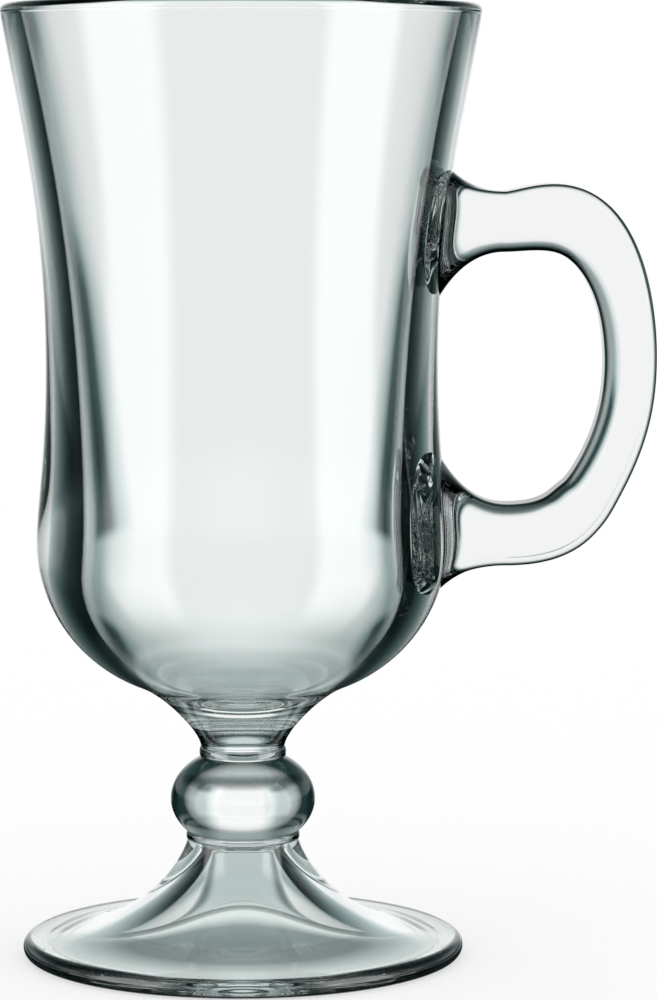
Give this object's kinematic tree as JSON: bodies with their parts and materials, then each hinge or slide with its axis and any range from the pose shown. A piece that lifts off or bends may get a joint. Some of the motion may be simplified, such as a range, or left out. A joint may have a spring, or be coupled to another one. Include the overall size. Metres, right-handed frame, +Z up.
{
  "type": "irish coffee glass mug",
  "caption": "Clear glass mug for hot coffee: a waisted bowl with a looped side handle, on a ball-knop stem and a hollow round foot.",
  "frame": {"origin": "middle of the foot, on the table that the mug stands on", "axes": "+Z up along the axis of bowl, stem and foot; +X towards the handle; the XZ plane halves the handle"},
  "size_m": [0.1017, 0.0746, 0.1492],
  "materials": {
    "clear_glass": "polished"
  },
  "bodies": {
    "root": {"bowl": "clear_glass", "stem_neck": "clear_glass", "upper_stem_ring": "clear_glass", "ball_knop": "clear_glass", "lower_stem_ring": "clear_glass", "foot": "clear_glass", "handle": "clear_glass", "upper_handle_root": "clear_glass", "lower_handle_root": "clear_glass"}
  },
  "joints": []
}
